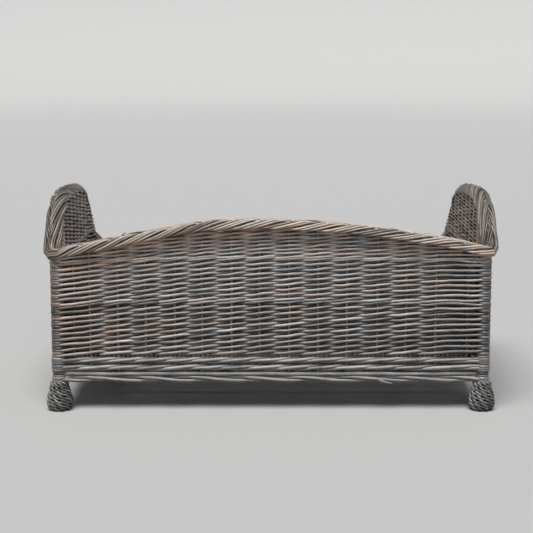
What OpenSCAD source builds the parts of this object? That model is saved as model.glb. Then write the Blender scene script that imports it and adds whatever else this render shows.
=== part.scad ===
// Wicker pet bed basket: a rectangular willow bed on four woven feet, with an arched back wall,
// two arched side walls and an entry wall whose rim dips in the middle.
// Millimetres. The origin is on the floor under the middle of the bed, +Z is up,
// the arched back wall faces -Y and the entry wall faces +Y.

/* [Overall size] */
// Width over the wrapped corner posts
bed_w = 620; // [520:10:760]
// Depth over the wrapped corner posts
bed_d = 400; // [340:10:520]
// Height of the woven feet, up to the underside of the base
foot_h = 41; // [30:1:60]
// Height of the rim at the back corners, under its border
back_corner_h = 218; // [200:2:260]
// Height of the rim at the entry corners, under its border
entry_corner_h = 198; // [180:2:240]

/* [Rim] */
// Rise of the back wall's arch above its corners
back_rise = 42; // [10:1:60]
// Rise of each side wall's arch above a straight line between its corners
side_rise = 79.5; // [20:0.5:90]
// How full the side arches are: a higher power is flatter on top and steeper at the corners
side_power = 4; // [2:0.5:5]
// Drop of the entry wall's dip below its corners
entry_drop = 88; // [40:2:96]
// How full the entry dip is: a higher power is flatter in the middle and steeper at the corners
entry_power = 5; // [2:0.5:6]
// How far the rim border reaches out from the middle of the wall
border_out = 18.5; // [14:0.5:22]
// How far the rim border reaches in from the middle of the wall
border_in = 8; // [8:0.5:14]
// Height of the rim border above the weave
border_rise = 15; // [12:0.5:20]

/* [Willow rods] */
// Diameter of the rod inside each corner post
post_d = 12; // [10:0.5:15]
// Diameter of the weaving rods
weaver_d = 3.6; // [3:0.1:4]
// Diameter of the upright stakes in the walls
stake_d = 4.6; // [3.6:0.1:5.2]
// Diameter of the thin side sticks beside the back posts
side_stick_d = 3; // [2.4:0.1:3.6]
// Distance between neighbouring stakes
stake_pitch = 40.8; // [36:0.2:48]
// How far the back wall's row of stakes sits off centre
back_stake_shift = -8.4; // [-10:0.2:10]
// Diameter of the thick rods round the edge of the base
rail_d = 6.8; // [6:0.1:7.4]
// Diameter of the twisted pair of rods under the edge of the base
edge_rope_d = 7.5; // [6:0.1:8]
// Height of the heavy wale rows above the base
wale_h = 21; // [14:1:30]
// Diameter of the sticks inside the base
base_stick_d = 5; // [4:0.1:5.4]

/* [Feet] */
// Diameter of a foot at its top
foot_top_d = 25; // [22:0.5:28]
// Diameter of a foot at its widest
foot_wide_d = 37; // [30:0.5:42]
// Diameter of the flat ring that a foot stands on
foot_floor_d = 28; // [22:0.5:30]
// Height of a foot's widest place
foot_wide_z = 12; // [9:1:14]

/* [Hidden] */

// Clearance left between neighbouring pieces
gap = 0.3;
// Steps along half of a curved rim
rim_steps = 18;
// Half the length over which a rim's slope is averaged
slope_run = 6;
// Diameter of the weaving rods of the base
base_weaver_d = 2.6;
// Distance between neighbouring base sticks
base_stick_pitch = 41;
// Least distance from the outer base sticks to the edge of the base
base_stick_margin = 12;
// Distance of a side stick from the middle of its post
side_stick_inset = 23;
// Length over which the border turns from upright at a corner to square to its rim
lean_run = 45;
// Length over a post in which the border is mitred
mitre_run = 12;
// The weave's top is the lowest rim within this distance along the wall
rim_reach = 2.5;

wrap_d = post_d + 2 * weaver_d;
post_x = (bed_w - wrap_d) / 2;
post_y = (bed_d - wrap_d) / 2;
rope_z = foot_h + edge_rope_d / 2;
rail_z = foot_h + edge_rope_d + gap + rail_d / 2;
wale_z = rail_z + rail_d / 2 + gap;
weave_z = wale_z + wale_h + gap;
wall_t = stake_d + 2 * weaver_d;
wale_t = wall_t + 2;
base_t = base_stick_d + 2 * base_weaver_d;
base_top = rail_z + rail_d / 2;

post_colour = "#4d3d32";
wrap_colour = "#6b5545";
weave_colour = "#5a4b40";
border_colour = "#6e6154";
stake_colour = "#4a3d34";

// A side is its index: 0 back, 1 right, 2 entry, 3 left, counted anticlockwise from above.
// Along a side, s runs anticlockwise from the middle and +o points out of the bed.
function across(side) = side % 2 == 0 ? post_x : post_y;
function away(side) = side % 2 == 0 ? post_y : post_x;
function span(side) = across(side) - wrap_d / 2 - gap;

// The round arc of the back rim: 0 at the corners and back_rise in the middle.
function back_arc(s) =
    let (r = (post_x * post_x + back_rise * back_rise) / (2 * back_rise))
    sqrt(r * r - s * s) - (r - back_rise);
// 0 at the corners and 1 in the middle, for s as a part of half the wall.
function fullness(part, power) = 1 - pow(abs(part), power);
// The height of a rim. Beyond a wall's corners it stays level.
function rim_z(side, s) =
    let (half = across(side), c = max(-half, min(half, s)), part = c / half)
    side == 0 ? back_corner_h + back_arc(c)
    : side == 2 ? entry_corner_h - entry_drop * fullness(part, entry_power)
    : (back_corner_h + entry_corner_h) / 2
        + (side == 1 ? -1 : 1) * part * (back_corner_h - entry_corner_h) / 2
        + side_rise * fullness(part, side_power);
function weave_top(side, s) = min(rim_z(side, s - rim_reach), rim_z(side, s + rim_reach)) - gap;
function rim_slope(side, s) =
    atan2(rim_z(side, s + slope_run) - rim_z(side, s - slope_run), 2 * slope_run);
function rim_lean(side, s) = rim_slope(side, s) * min(1, (across(side) - abs(s)) / lean_run);

// Places along a rim, from one corner to the other, closest together where it is steepest.
function rim_stations(side) =
    let (half = across(side), inner = half - mitre_run)
    concat(
        [-half, -half + mitre_run / 3, -half + mitre_run * 2 / 3],
        [for (i = [-rim_steps:rim_steps]) inner * sin(90 * i / rim_steps)],
        [half - mitre_run * 2 / 3, half - mitre_run / 3, half]);

module on_side(side) {
    rotate([0, 0, 90 * side]) translate([0, -away(side), 0]) children();
}

// Corner 0 is back left, and the others follow anticlockwise.
module at_corner(corner) {
    x = corner == 1 || corner == 2 ? post_x : -post_x;
    y = corner >= 2 ? post_y : -post_y;
    translate([x, y, 0]) children();
}

// A post and its wraps end under the border: at an entry corner, where the dip has begun to fall.
post_edge = post_x - wrap_d / 2;
back_post_h = back_corner_h - gap;
entry_post_h = rim_z(2, post_edge) - gap;

module corner_post(height) {
    color(post_colour) cylinder(d = post_d, h = height, $fn = 32);
}

// The outline of a foot: it swells from the floor to its widest place and draws in to its top.
function foot_r(z) =
    z < foot_wide_z
    ? foot_wide_d / 2 - (foot_wide_d - foot_floor_d) / 2 * pow(1 - z / foot_wide_z, 2)
    : foot_wide_d / 2 - (foot_wide_d - foot_top_d) / 2
        * pow(sin(90 * (z - foot_wide_z) / (foot_h - foot_wide_z)), 2);

module woven_foot() {
    steps = 14;
    top = foot_h - gap;
    bore = post_d / 2 + gap;
    outline = [for (i = [0:steps]) [foot_r(top * i / steps), top * i / steps]];
    color(wrap_colour) rotate_extrude($fn = 48)
        polygon(concat([[bore, 0]], outline, [[bore, top]]));
}

// The turns that the weaving rods make round a post, as one sleeve.
module corner_wrap(height) {
    color(wrap_colour) translate([0, 0, foot_h]) difference() {
        cylinder(d = wrap_d, h = height - foot_h, $fn = 48);
        translate([0, 0, -1]) cylinder(r = post_d / 2 + gap, h = height, $fn = 48);
    }
}

module rod_along(side, d, z, o) {
    translate([-span(side), -o, z]) rotate([0, 90, 0])
        cylinder(d = d, h = 2 * span(side), $fn = 24);
}

module base_rail(side) {
    color(weave_colour) on_side(side) rod_along(side, rail_d, rail_z, 0);
}

// Two rods twisted round each other, as the one round shape that they fill.
module base_rope(side) {
    color(wrap_colour) on_side(side) rod_along(side, edge_rope_d, rope_z, 1);
}

base_half_x = post_x - rail_d / 2 - gap;
base_half_y = post_y - rail_d / 2 - gap;
base_stick_n = floor((base_half_y - base_stick_margin) / base_stick_pitch);

module base_sticks() {
    color(stake_colour)
    for (i = [-base_stick_n:base_stick_n])
        translate([-base_half_x, i * base_stick_pitch, base_top - base_t / 2])
            rotate([0, 90, 0]) cylinder(d = base_stick_d, h = 2 * base_half_x, $fn = 24);
}

module base_weave() {
    slot = base_stick_d + 2 * gap;
    color(weave_colour) difference() {
        translate([-base_half_x, -base_half_y, base_top - base_t])
            cube([2 * base_half_x, 2 * base_half_y, base_t]);
        for (i = [-base_stick_n:base_stick_n])
            translate([-base_half_x - 1, i * base_stick_pitch - slot / 2, base_top - base_t / 2 - slot / 2])
                cube([2 * base_half_x + 2, slot, slot]);
        for (corner = [0:3])
            at_corner(corner) cylinder(r = wrap_d / 2 + gap, h = back_corner_h, $fn = 48);
    }
}

// Stakes of a wall, by their places along it.
function stake_places(side) =
    let (shift = side == 0 ? back_stake_shift : 0,
         count = floor((2 * span(side) - 2 * abs(shift) - stake_pitch / 2) / stake_pitch))
    [for (i = [0:count - 1]) (i - (count - 1) / 2) * stake_pitch + shift];
// The back wall has a thin side stick next to each post as well.
function side_stick_places(side) = side == 0 ? [-1, 1] * (across(side) - side_stick_inset) : [];

function stake_top(side, s) =
    min(rim_z(side, s - stake_d), rim_z(side, s + stake_d)) - 2 * gap;

module stakes(side) {
    color(stake_colour) on_side(side) {
        for (s = stake_places(side))
            translate([s, 0, wale_z]) cylinder(d = stake_d, h = stake_top(side, s) - wale_z, $fn = 24);
        for (s = side_stick_places(side))
            translate([s, 0, wale_z]) cylinder(d = side_stick_d, h = stake_top(side, s) - wale_z, $fn = 24);
    }
}

// The square channels that the stakes stand in, through a wall or a wale.
module stake_slots(side, low, high) {
    for (s = stake_places(side))
        translate([s - stake_d / 2 - gap, -stake_d / 2 - gap, low])
            cube([stake_d + 2 * gap, stake_d + 2 * gap, high - low]);
    for (s = side_stick_places(side))
        translate([s - side_stick_d / 2 - gap, -side_stick_d / 2 - gap, low])
            cube([side_stick_d + 2 * gap, side_stick_d + 2 * gap, high - low]);
}

module wale(side) {
    color(border_colour) on_side(side) difference() {
        translate([-span(side), -wale_t / 2, wale_z]) cube([2 * span(side), wale_t, wale_h]);
        stake_slots(side, wale_z - 1, weave_z + 1);
    }
}

// The woven wall above the wale, up to its curved rim.
module weave(side) {
    inner = [for (s = rim_stations(side)) if (abs(s) < span(side)) s];
    places = concat([-span(side)], inner, [span(side)]);
    color(weave_colour) on_side(side) difference() {
        translate([0, wall_t / 2, 0]) rotate([90, 0, 0]) linear_extrude(wall_t)
            polygon(concat(
                [[span(side), weave_z], [-span(side), weave_z]],
                [for (s = places) [s, weave_top(side, s)]]));
        stake_slots(side, weave_z - 1, back_corner_h + side_rise + back_rise);
    }
}

// The rim border's section, as [out, up] from the top middle of the wall: it rises from the
// inside to a crest outside the wall and then turns down.
border_section = [
    [-border_in + 1, gap],
    [border_out, gap],
    [border_out, border_rise * 0.4],
    [border_out * 0.7, border_rise * 0.9],
    [border_out * 0.4, border_rise],
    [-border_in * 0.4, border_rise * 0.68],
    [-border_in, border_rise * 0.28]
];

// One ring of the border: it leans with the rim, and its ends are mitred over the posts.
function border_ring(side, s) =
    let (lean = rim_lean(side, s), half = across(side),
         mitre = sign(s) * max(0, 1 - (half - abs(s)) / mitre_run))
    [for (p = border_section)
        [s + mitre * (p[0] - gap) - p[1] * sin(lean), -p[0], rim_z(side, s) + p[1] * cos(lean)]];

module border(side) {
    places = rim_stations(side);
    n = len(border_section);
    last = len(places) - 1;
    points = [for (s = places) each border_ring(side, s)];
    sides = [for (k = [0:last - 1], i = [0:n - 1])
        let (j = (i + 1) % n)
        each [[k * n + i, k * n + j, (k + 1) * n + j], [k * n + i, (k + 1) * n + j, (k + 1) * n + i]]];
    start = [for (i = [n - 1:-1:0]) i];
    finish = [for (i = [0:n - 1]) last * n + i];
    color(border_colour) on_side(side) polyhedron(points, concat(sides, [start, finish]));
}

at_corner(0) corner_post(back_post_h);  // post_back_left
at_corner(1) corner_post(back_post_h);  // post_back_right
at_corner(2) corner_post(entry_post_h);  // post_entry_right
at_corner(3) corner_post(entry_post_h);  // post_entry_left
at_corner(0) woven_foot();  // foot_back_left
at_corner(1) woven_foot();  // foot_back_right
at_corner(2) woven_foot();  // foot_entry_right
at_corner(3) woven_foot();  // foot_entry_left
at_corner(0) corner_wrap(back_post_h);  // corner_wrap_back_left
at_corner(1) corner_wrap(back_post_h);  // corner_wrap_back_right
at_corner(2) corner_wrap(entry_post_h);  // corner_wrap_entry_right
at_corner(3) corner_wrap(entry_post_h);  // corner_wrap_entry_left
base_rail(0);  // base_rail_back
base_rail(1);  // base_rail_right
base_rail(2);  // base_rail_entry
base_rail(3);  // base_rail_left
base_rope(0);  // base_rope_back
base_rope(1);  // base_rope_right
base_rope(2);  // base_rope_entry
base_rope(3);  // base_rope_left
base_sticks();
base_weave();
wale(0);  // wale_back
wale(1);  // wale_right
wale(2);  // wale_entry
wale(3);  // wale_left
stakes(0);  // stakes_back
stakes(1);  // stakes_right
stakes(2);  // stakes_entry
stakes(3);  // stakes_left
weave(0);  // weave_back
weave(1);  // weave_right
weave(2);  // weave_entry
weave(3);  // weave_left
border(0);  // border_back
border(1);  // border_right
border(2);  // border_entry
border(3);  // border_left
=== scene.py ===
"""The looks of a wicker pet bed basket: every willow rod is swept along its own woven path."""

import math

import bpy
import numpy as np
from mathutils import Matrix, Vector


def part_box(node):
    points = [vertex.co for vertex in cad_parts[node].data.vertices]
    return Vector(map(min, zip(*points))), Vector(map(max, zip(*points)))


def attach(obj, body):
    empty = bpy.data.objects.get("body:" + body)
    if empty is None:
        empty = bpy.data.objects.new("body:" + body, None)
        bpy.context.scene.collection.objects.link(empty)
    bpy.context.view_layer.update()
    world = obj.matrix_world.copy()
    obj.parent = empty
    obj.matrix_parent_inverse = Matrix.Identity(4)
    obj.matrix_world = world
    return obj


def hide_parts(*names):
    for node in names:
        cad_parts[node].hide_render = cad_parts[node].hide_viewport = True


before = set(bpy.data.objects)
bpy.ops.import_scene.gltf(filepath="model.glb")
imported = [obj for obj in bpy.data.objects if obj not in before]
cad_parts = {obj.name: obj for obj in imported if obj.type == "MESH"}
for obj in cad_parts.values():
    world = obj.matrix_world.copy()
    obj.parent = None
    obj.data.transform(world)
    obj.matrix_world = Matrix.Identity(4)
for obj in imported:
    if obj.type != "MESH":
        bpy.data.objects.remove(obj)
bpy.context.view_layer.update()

MM = 0.001
TAU = 2 * math.pi

# ---------------------------------------------------------------- the frame's places and sizes

# Sides are counted anticlockwise from above. Along a side, s runs anticlockwise from its middle,
# o points out of the bed and z is up. Corner k lies at the start of side k.
SIDES = ("back", "right", "entry", "left")
CORNERS = ("back_left", "back_right", "entry_right", "entry_left")
BACK, RIGHT, ENTRY, LEFT = range(4)
ALONG = np.array([(1, 0), (0, 1), (-1, 0), (0, -1)], float)
OUT = np.roll(ALONG, 1, axis=0)
UP = np.array([0.0, 0.0, 1.0])


def middle(node):
    """The middle of a CAD node's box."""
    low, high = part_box(node)
    return (low + high) / 2


GAP = 0.3 * MM
POST_X = middle("post_back_right").x
POST_Y = -middle("post_back_right").y
POST_R = (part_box("post_back_right")[1].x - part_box("post_back_right")[0].x) / 2
ACROSS = (POST_X, POST_Y, POST_X, POST_Y)
AWAY = (POST_Y, POST_X, POST_Y, POST_X)
FOOT_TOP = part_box("foot_back_left")[1].z
WALE_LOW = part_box("wale_back")[0].z
WALE_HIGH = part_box("wale_back")[1].z
WEAVE_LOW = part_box("weave_back")[0].z
RAIL_Z = middle("base_rail_back").z
ROPE_Z = middle("base_rope_back").z
BASE_LOW, BASE_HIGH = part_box("base_weave")
STICKS_LOW, STICKS_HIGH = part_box("base_sticks")

# The rim's shape, as in the CAD source: heights at the corners, rises and a drop to the middle of a
# side and the powers of their curves. A slope is taken over SLOPE_RUN to each side of a place.
BACK_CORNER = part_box("post_back_right")[1].z + GAP
ENTRY_CORNER = 198 * MM
BACK_RISE = 42 * MM
SIDE_RISE = 79.5 * MM
SIDE_POWER = 4
ENTRY_DROP = 88 * MM
ENTRY_POWER = 5
SLOPE_RUN = 6 * MM
# The border turns upright over this run before a corner. In the CAD source it starts earlier.
LEAN_RUN = 24 * MM
# How far the rim strays from that shape, being woven by hand, at parts of the way along a side
# from -1 at its start to 1 at its end. The entry's rim is even.
UNEVEN_PARTS = (-1.0, -0.76, -0.54, -0.3, -0.07, 0.2, 0.62, 0.86, 1.0)
UNEVEN = {
    BACK: np.array((-1.0, -4.0, -3.2, 1.2, 0.6, -1.4, -0.8, 2.0, 3.5)) * MM,
    RIGHT: np.array((3.5, 1.5, 0, 0, 0, 0, 0, 0, 0)) * MM,
    LEFT: np.array((0, 0, 0, 0, 0, 0, 0, -0.5, -1.0)) * MM,
}

# The stakes' places and the base's sticks, as in the CAD source.
STAKE_PITCH = 40.8 * MM
BACK_STAKE_SHIFT = -8.4 * MM
CAD_WEAVER_D = 3.6 * MM
SIDE_STICK_INSET = 23 * MM
SIDE_STICK_R = 1.5 * MM
BASE_STICK_PITCH = 41 * MM
BASE_STICK_R = 2.5 * MM
# The stakes are thinner than the CAD's, and hand-set: the back wall's stray, its middle ones most,
# and every stake sways from its place.
STAKE_R = 1.9 * MM
BACK_STAKE_STRAY = -6.5 * MM
STRAY_POWER = 3
STAKE_SWAY = 1.2 * MM

# The foot's outline, as in the CAD source.
FOOT_TOP_R = 12.5 * MM
FOOT_WIDE_R = 18.5 * MM
FOOT_FLOOR_R = 14 * MM
FOOT_WIDE_Z = 12 * MM
FOOT_H = FOOT_TOP + GAP

# Each kind of piece has its own random draws, which start from these numbers, one more for each
# next side, corner or rod.
SEEDS = {
    "stake_sway": 50,
    "weave": 100,
    "stakes": 200,
    "wale": 300,
    "post": 400,
    "wrap": 500,
    "foot": 600,
    "rail": 700,
    "rope": 800,
    "base_sticks": 900,
    "base_weave": 910,
    "border": 1000,
    "border_rod": 1100,
}


def between(places, values, s):
    """Values at s, swinging smoothly from one place's value to the next."""
    k = np.clip(np.searchsorted(places, s) - 1, 0, len(places) - 2)
    part = np.clip((s - places[k]) / (places[k + 1] - places[k]), 0, 1)
    return values[k] + (values[k + 1] - values[k]) * (1 - np.cos(math.pi * part)) / 2


def rim_z(side, s):
    """The height of a side's rim at s, an array."""
    half = ACROSS[side]
    s = np.clip(s, -half, half)
    part = s / half
    if side == ENTRY:
        return ENTRY_CORNER - ENTRY_DROP * (1 - np.abs(part) ** ENTRY_POWER)
    stray = between(np.array(UNEVEN_PARTS), UNEVEN[side], part)
    if side == BACK:
        # An arc of a circle of radius r.
        r = (half**2 + BACK_RISE**2) / (2 * BACK_RISE)
        return BACK_CORNER + np.sqrt(r**2 - s**2) - (r - BACK_RISE) + stray
    fall = (BACK_CORNER - ENTRY_CORNER) / 2 * (-part if side == RIGHT else part)
    rise = SIDE_RISE * (1 - np.abs(part) ** SIDE_POWER)
    return (BACK_CORNER + ENTRY_CORNER) / 2 + fall + rise + stray


def rim_slope(side, s):
    """The slope of a rim at s, in radians."""
    return np.arctan2(rim_z(side, s + SLOPE_RUN) - rim_z(side, s - SLOPE_RUN), 2 * SLOPE_RUN)


def rim_lean(side, s):
    """How far the border leans along its rim, in radians: with its slope, but upright at corners."""
    return rim_slope(side, s) * np.minimum(1, (ACROSS[side] - np.abs(s)) / LEAN_RUN)


def stake_places(side):
    """The stakes' places along a side."""
    shift = BACK_STAKE_SHIFT if side == BACK else 0
    room = 2 * (ACROSS[side] - POST_R - CAD_WEAVER_D - GAP) - 2 * abs(shift) - STAKE_PITCH / 2
    count = int(room // STAKE_PITCH)
    places = (np.arange(count) - (count - 1) / 2) * STAKE_PITCH + shift
    stray = BACK_STAKE_STRAY if side == BACK else 0
    sway = np.random.default_rng(SEEDS["stake_sway"] + side).uniform(-1, 1, count) * STAKE_SWAY
    return places + stray * (1 - np.abs(places / ACROSS[side]) ** STRAY_POWER) + sway


def place(side, s, o, z):
    """Points in the row frame from places along a side."""
    flat = np.multiply.outer(s, ALONG[side]) + np.multiply.outer(AWAY[side] + o, OUT[side])
    return np.column_stack([flat, z])


def corner_place(corner):
    """The middle of a corner post on the floor."""
    return place(corner, np.array([-ACROSS[corner]]), np.array([0.0]), np.array([0.0]))[0]


def corner_top(corner):
    """The height of the rim over a corner post."""
    return float(rim_z(corner, np.array([-ACROSS[corner]]))[0]) - GAP


# ---------------------------------------------------------------- rods

# A smooth sway is a sum of waves with these shares of its amount and of its wavelength, each
# wavelength stretched by a random factor.
SWAY_SHARES = (1.0, 0.47, 0.23)
SWAY_STRETCH = (0.8, 1.25)
SWAY_PEAK = 1.2
# Along every rod its lightness sways by this amount.
SHADE_SWAY = 0.05
SHADE_RUN = 70 * MM
# Knots: half their length, how much they swell a rod and darken it, where the first one may be and
# how far each strays from its place, these two as parts of the distance between knots.
KNOT_LENGTH = 2.2 * MM
KNOT_SWELL = 0.13
KNOT_SHADE = 0.25
FIRST_KNOT = (0.2, 1)
KNOT_STRAY = 0.3
# The wood's pattern is read on a tube of this radius, at a random place within GRAIN_SPREAD metres.
GRAIN_R = 2 * MM
GRAIN_SPREAD = 4
# Shorter runs of points don't become a rod.
SHORTEST_RUN = 4


def unit(v):
    """Vectors of length 1 along v."""
    return v / np.linalg.norm(v, axis=-1, keepdims=True)


def wander(rng, distance, amount, wavelength):
    """A smooth random sway along a rod."""
    sway = np.zeros_like(distance)
    for share in SWAY_SHARES:
        turn = rng.uniform(0, TAU)
        stretched = wavelength * share * rng.uniform(*SWAY_STRETCH)
        sway += share * np.sin(distance * TAU / stretched + turn)
    return amount * sway / SWAY_PEAK


def pick_tone(rng, warm_share, warm, dull):
    """A random tone, from the warm ones for a share of the rods and else from the dull ones."""
    return rng.uniform(*warm) if rng.random() < warm_share else rng.uniform(*dull)


class Rods:
    """Willow rods gathered into one mesh.

    Each point carries the attribute "rod": red is the rod's tone from dull to orange, green its
    lightness, its own with painted light and shade added, blue 1 on a cut end and alpha how much of
    the pale top colour it takes, for wear and for painted top light. The attribute "grain" is a
    place in the rod's own wood: two coordinates round it and one along it.
    """

    def __init__(self, seed):
        self.rng = np.random.default_rng(seed)
        self.points = []
        self.rod = []
        self.grain = []
        self.quads = []
        self.caps = []
        self.count = 0

    def add(self, path, radius, reference, tone=0.3, light=0.5, sides=8, knots=0.0, worn_and_lit=1.0):
        """Adds a rod along path. reference is any direction that the path never takes. radius, tone,
        light and worn may vary along it. knots is the distance between its knots, or 0 for none."""
        path = np.asarray(path, float)
        n = len(path)
        radius = np.full(n, radius, float) if np.isscalar(radius) else np.asarray(radius, float)
        tangent = unit(np.gradient(path, axis=0))
        across = unit(np.cross(tangent, reference))
        up = np.cross(across, tangent)
        along = np.concatenate([[0], np.cumsum(np.linalg.norm(np.diff(path, axis=0), axis=1))])
        shade = light + wander(self.rng, along, SHADE_SWAY, SHADE_RUN)
        if knots:
            for at in np.arange(self.rng.uniform(*FIRST_KNOT) * knots, along[-1], knots):
                knot = at + self.rng.uniform(-KNOT_STRAY, KNOT_STRAY) * knots
                near = np.exp(-(((along - knot) / KNOT_LENGTH) ** 2))
                radius = radius * (1 + KNOT_SWELL * near)
                shade = shade - KNOT_SHADE * near
        angle = np.arange(sides) * TAU / sides
        right_left = np.cos(angle)[None, :, None] * across[:, None]
        up_down = np.sin(angle)[None, :, None] * up[:, None]
        rings = path[:, None] + radius[:, None, None] * (right_left + up_down)
        start = self.rng.uniform(0, GRAIN_SPREAD, 3)
        grain = np.empty((n, sides, 3))
        grain[..., 0] = start[0] + GRAIN_R * np.cos(angle)
        grain[..., 1] = start[1] + GRAIN_R * np.sin(angle)
        grain[..., 2] = start[2] + along[:, None]
        rod = np.zeros((n, sides, 4))
        rod[..., 0] = np.broadcast_to(tone, n)[:, None]
        rod[..., 1] = shade[:, None]
        rod[..., 3] = np.broadcast_to(worn_and_lit, n)[:, None]
        here = np.arange(n * sides).reshape(n, sides) + self.count
        beside = np.roll(here, -1, axis=1)
        self.quads.append(np.stack([here[:-1], here[1:], beside[1:], beside[:-1]], -1).reshape(-1, 4))
        self._keep(rings, rod, grain)
        for end, order in ((0, slice(None)), (-1, slice(None, None, -1))):
            cut = rod[end].copy()
            cut[:, 2] = 1
            self.caps.append(np.arange(sides)[order] + self.count)
            self._keep(rings[end], cut, grain[end])

    def _keep(self, points, rod, grain):
        """Adds points with their attributes."""
        self.points.append(points.reshape(-1, 3))
        self.rod.append(rod.reshape(-1, 4))
        self.grain.append(grain.reshape(-1, 3))
        self.count += points.size // 3

    def build(self, name, node, material):
        """Makes the piece, which stands for a CAD node."""
        quads = np.concatenate(self.quads)
        loops = np.concatenate([quads.ravel(), *self.caps])
        sizes = np.concatenate([np.full(len(quads), 4), [len(c) for c in self.caps]]).astype(int)
        starts = np.concatenate([[0], np.cumsum(sizes)[:-1]])
        mesh = bpy.data.meshes.new(name)
        mesh.vertices.add(self.count)
        mesh.vertices.foreach_set("co", np.concatenate(self.points).astype(np.float32).ravel())
        mesh.loops.add(len(loops))
        mesh.loops.foreach_set("vertex_index", loops.astype(np.int32))
        mesh.polygons.add(len(sizes))
        mesh.polygons.foreach_set("loop_start", starts.astype(np.int32))
        smooth = np.arange(len(sizes)) < len(quads)
        mesh.polygons.foreach_set("use_smooth", smooth)
        mesh.update(calc_edges=True)
        rod = mesh.attributes.new("rod", "FLOAT_COLOR", "POINT")
        rod.data.foreach_set("color", np.concatenate(self.rod).astype(np.float32).ravel())
        grain = mesh.attributes.new("grain", "FLOAT_VECTOR", "POINT")
        grain.data.foreach_set("vector", np.concatenate(self.grain).astype(np.float32).ravel())
        mesh.materials.append(material)
        piece = bpy.data.objects.new(name, mesh)
        bpy.context.scene.collection.objects.link(piece)
        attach(piece, "root")
        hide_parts(node)
        return piece


def runs(valid):
    """The unbroken runs in a mask, as pairs of first and last index."""
    edges = np.flatnonzero(np.diff(np.concatenate([[0], valid.astype(int), [0]])))
    return [(a, b) for a, b in zip(edges[::2], edges[1::2]) if b - a >= SHORTEST_RUN]


# ---------------------------------------------------------------- materials


def srgb(r, g, b):
    """A colour as seen on a screen, 0 to 255, in Blender's linear values."""
    return tuple(c / 3294.6 if c <= 10 else ((c / 255 + 0.055) / 1.055) ** 2.4 for c in (r, g, b)) + (1,)


# The places of a Mix node's sockets for two colours and for the mixed one.
MIX_A = 6
MIX_B = 7
MIX_RESULT = 2


class Shader:
    """A small helper for writing a material's nodes. A value is a number, a colour or a socket."""

    def __init__(self, name):
        self.material = bpy.data.materials.new(name)
        self.material.use_nodes = True
        self.tree = self.material.node_tree
        self.surface = self.tree.nodes["Principled BSDF"]

    def node(self, kind, **settings):
        """A new node with its settings."""
        made = self.tree.nodes.new("ShaderNode" + kind)
        for key, value in settings.items():
            setattr(made, key, value)
        return made

    def feed(self, socket, value):
        """Gives a socket its value."""
        if isinstance(value, bpy.types.NodeSocket):
            self.tree.links.new(value, socket)
        else:
            socket.default_value = value

    def sums(self, operation, a, b=0.0, c=0.0):
        """The result of a Math node."""
        made = self.node("Math", operation=operation)
        for socket, value in zip(made.inputs, (a, b, c)):
            self.feed(socket, value)
        return made.outputs[0]

    def mix(self, factor, a, b, blend="MIX"):
        """The mix of colours a and b."""
        made = self.node("Mix", data_type="RGBA", blend_type=blend)
        self.feed(made.inputs[0], factor)
        self.feed(made.inputs[MIX_A], a)
        self.feed(made.inputs[MIX_B], b)
        return made.outputs[MIX_RESULT]

    def between(self, value, low, high, to_low=0.0, to_high=1.0):
        """The value mapped from low and high to to_low and to_high, and kept between them."""
        made = self.node("MapRange")
        for socket, number in zip(made.inputs, (value, low, high, to_low, to_high)):
            self.feed(socket, number)
        return made.outputs[0]

    def noise(self, place, stretch, detail=2.0):
        """Smooth noise, with stretch as its waves per metre in each direction."""
        mapping = self.node("Mapping")
        self.feed(mapping.inputs["Vector"], place)
        mapping.inputs["Scale"].default_value = stretch
        made = self.node("TexNoise")
        made.inputs["Scale"].default_value = 1
        made.inputs["Detail"].default_value = detail
        self.feed(made.inputs["Vector"], mapping.outputs[0])
        return made.outputs["Fac"]


# The bark's patterns, in waves per metre: twice across the rod and once along it.
STREAKS = (1500, 1500, 45)
PATCHES = (120, 120, 38)
SPECKS = (1400, 1400, 900)
CUT_WOOD = srgb(150, 128, 100)
GRAIN_DEPTH = 0.25 * MM


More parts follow.
